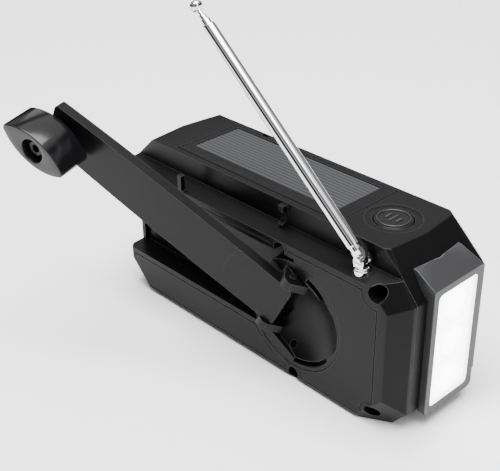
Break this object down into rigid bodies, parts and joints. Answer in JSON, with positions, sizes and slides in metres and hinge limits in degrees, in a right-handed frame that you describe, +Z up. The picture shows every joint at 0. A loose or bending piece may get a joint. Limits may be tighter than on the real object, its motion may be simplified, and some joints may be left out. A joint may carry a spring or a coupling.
{
  "type": "emergency radio",
  "caption": "Hand-crank emergency radio: faceted black case, end lamp, solar lid, alarm button, telescopic antenna, and a folding crank with a spinning lens-shaped knob geared to a generator.",
  "frame": {"origin": "centre of the flat underside, under the middle of the case", "axes": "+Z up; +X from the lamp end to the knob end; +Y from the speaker side to the back, where the crank and antenna are"},
  "size_m": [0.1654, 0.107, 0.1393],
  "materials": {
    "case_plastic": "fine spark-eroded texture, lightly satin",
    "crank_plastic": "satin black, lightly worn edges",
    "knob_plastic": "polished black",
    "lens_plastic": "clear window",
    "metallised": "vacuum metallised",
    "led_resin": "clear resin",
    "board": "solder resist",
    "component": "moulded component",
    "solar_glass": "laminated cell with fine conductor lines",
    "diffuser": "milky strip",
    "button_rubber": "smooth dark cap",
    "chrome": "polished",
    "steel": "plated",
    "gear_plastic": "natural nylon",
    "cell_wrap": "wrapped cell",
    "contact": "plated spring metal",
    "magnet": "sintered ferrite",
    "cone": "pressed paper",
    "copper": "enamelled wire",
    "dial_card": "printed scale",
    "needle": "red needle",
    "cover_rubber": "soft flap"
  },
  "bodies": {
    "case": {"front_case": "case_plastic", "rear_cover": "case_plastic", "lamp_hood": "case_plastic", "lamp_lens": "lens_plastic", "lamp_reflector": "metallised", "lamp_leds": "led_resin", "lamp_board": "board", "lid_hinge_pin": "steel", "alarm_switch_board": "board", "step_gear_axle": "steel", "generator": "steel", "gear_bridge": "steel", "bridge_posts": "steel", "antenna_mount": "chrome", "speaker_frame": "steel", "speaker_magnet": "magnet", "speaker_cone": "cone", "speaker_grille": "case_plastic", "dial_window": "lens_plastic", "dial_plate": "dial_card", "tuning_capacitor": "component", "volume_control": "component", "main_board": "board", "board_components": "component", "ferrite_rod": "magnet", "aerial_coil": "copper", "battery_tray": "case_plastic", "battery_cell": "cell_wrap", "battery_contacts": "contact", "charging_port": "steel", "case_screws": "steel"},
    "lid": {"solar_lid": "case_plastic", "solar_cell": "solar_glass", "reading_lamp": "diffuser"},
    "alarm_button": {"alarm_button": "button_rubber"},
    "crank_wheel": {"crank_rotor": "crank_plastic", "drive_gear": "gear_plastic", "crank_hinge_pin": "steel"},
    "crank_arm": {"crank_arm": "crank_plastic", "knob_screw": "steel"},
    "crank_knob": {"crank_knob": "knob_plastic"},
    "step_gear": {"step_gear": "gear_plastic"},
    "generator_rotor": {"generator_pinion": "gear_plastic", "generator_shaft": "steel"},
    "antenna_swivel": {"antenna_swivel": "chrome", "antenna_screw": "chrome"},
    "antenna_mast": {"antenna_knuckle": "chrome", "antenna_tube": "chrome"},
    "antenna_stage_2": {"antenna_stage_2": "chrome"},
    "antenna_stage_3": {"antenna_stage_3": "chrome"},
    "antenna_stage_4": {"antenna_stage_4": "chrome", "antenna_tip": "chrome"},
    "tuning_knob": {"tuning_knob": "knob_plastic"},
    "dial_pointer": {"dial_pointer": "needle"},
    "volume_knob": {"volume_knob": "knob_plastic"},
    "band_switch": {"band_switch": "knob_plastic"},
    "lamp_button": {"lamp_button": "button_rubber"},
    "port_cover": {"port_cover": "cover_rubber"}
  },
  "joints": [
    {"name": "crank_spin", "type": "hinge", "parent": "case", "child": "crank_wheel", "pos_m": [-0.0267, 0.02, 0.0303], "axis": [0, 1, 0], "continuous": true},
    {"name": "crank_fold", "type": "hinge", "parent": "crank_wheel", "child": "crank_arm", "pos_m": [-0.01962, 0.0284, 0.03423], "axis": [-0.4848, 0, 0.8746], "range_deg": [0, 150]},
    {"name": "knob_spin", "type": "hinge", "parent": "crank_arm", "child": "crank_knob", "pos_m": [0.07264, 0.05588, 0.08536], "axis": [-0.2205, 0.9677, -0.1222], "continuous": true},
    {"name": "step_gear_spin", "type": "hinge", "parent": "case", "child": "step_gear", "pos_m": [-0.0066, 0.006, 0.0303], "axis": [0, 1, 0], "continuous": true},
    {"name": "generator_spin", "type": "hinge", "parent": "case", "child": "generator_rotor", "pos_m": [0.0015, 0.005, 0.02065], "axis": [0, 1, 0], "continuous": true},
    {"name": "lid_hinge", "type": "hinge", "parent": "case", "child": "lid", "pos_m": [0.007, 0.0149, 0.0697], "axis": [-1, 0, 0], "range_deg": [0, 90]},
    {"name": "alarm_press", "type": "slide", "parent": "case", "child": "alarm_button", "axis": [0, 0, -1], "range_m": [0, 0.0008], "stiffness_N_per_m": 800, "springref_m": -0.001},
    {"name": "lamp_press", "type": "slide", "parent": "case", "child": "lamp_button", "axis": [0, 1, 0], "range_m": [0, 0.0007], "stiffness_N_per_m": 800, "springref_m": -0.001},
    {"name": "antenna_swivel_turn", "type": "hinge", "parent": "case", "child": "antenna_swivel", "pos_m": [-0.0553, 0.0226, 0.0625], "axis": [0, 0, 1], "range_deg": [0, 180]},
    {"name": "antenna_tilt", "type": "hinge", "parent": "antenna_swivel", "child": "antenna_mast", "pos_m": [-0.0553, 0.0226, 0.0654], "axis": [0, -1, 0], "range_deg": [-40.5, 49.5]},
    {"name": "antenna_pull_2", "type": "slide", "parent": "antenna_mast", "child": "antenna_stage_2", "axis": [0.7604, 0, 0.6494], "range_m": [0, 0.082]},
    {"name": "antenna_pull_3", "type": "slide", "parent": "antenna_stage_2", "child": "antenna_stage_3", "axis": [0.7604, 0, 0.6494], "range_m": [0, 0.082]},
    {"name": "antenna_pull_4", "type": "slide", "parent": "antenna_stage_3", "child": "antenna_stage_4", "axis": [0.7604, 0, 0.6494], "range_m": [0, 0.082]},
    {"name": "tuning_turn", "type": "hinge", "parent": "case", "child": "tuning_knob", "pos_m": [0.08, -0.002, 0.0467], "axis": [1, 0, 0], "range_deg": [-150, 150]},
    {"name": "pointer_travel", "type": "slide", "parent": "case", "child": "dial_pointer", "axis": [1, 0, 0], "range_m": [-0.022, 0.022]},
    {"name": "volume_turn", "type": "hinge", "parent": "case", "child": "volume_knob", "pos_m": [0.08, -0.002, 0.0285], "axis": [1, 0, 0], "range_deg": [-140, 140]},
    {"name": "band_slide", "type": "slide", "parent": "case", "child": "band_switch", "axis": [1, 0, 0], "range_m": [-0.004, 0.004]},
    {"name": "port_cover_hinge", "type": "hinge", "parent": "case", "child": "port_cover", "pos_m": [0.07855, 0, 0.01575], "axis": [0, -1, 0], "range_deg": [0, 100]}
  ],
  "couplings": [
    {"joint": "step_gear_spin", "follows": "crank_spin", "ratio": -4},
    {"joint": "generator_spin", "follows": "crank_spin", "ratio": 16},
    {"joint": "pointer_travel", "follows": "tuning_turn", "m_per_rad": 0.0082}
  ]
}
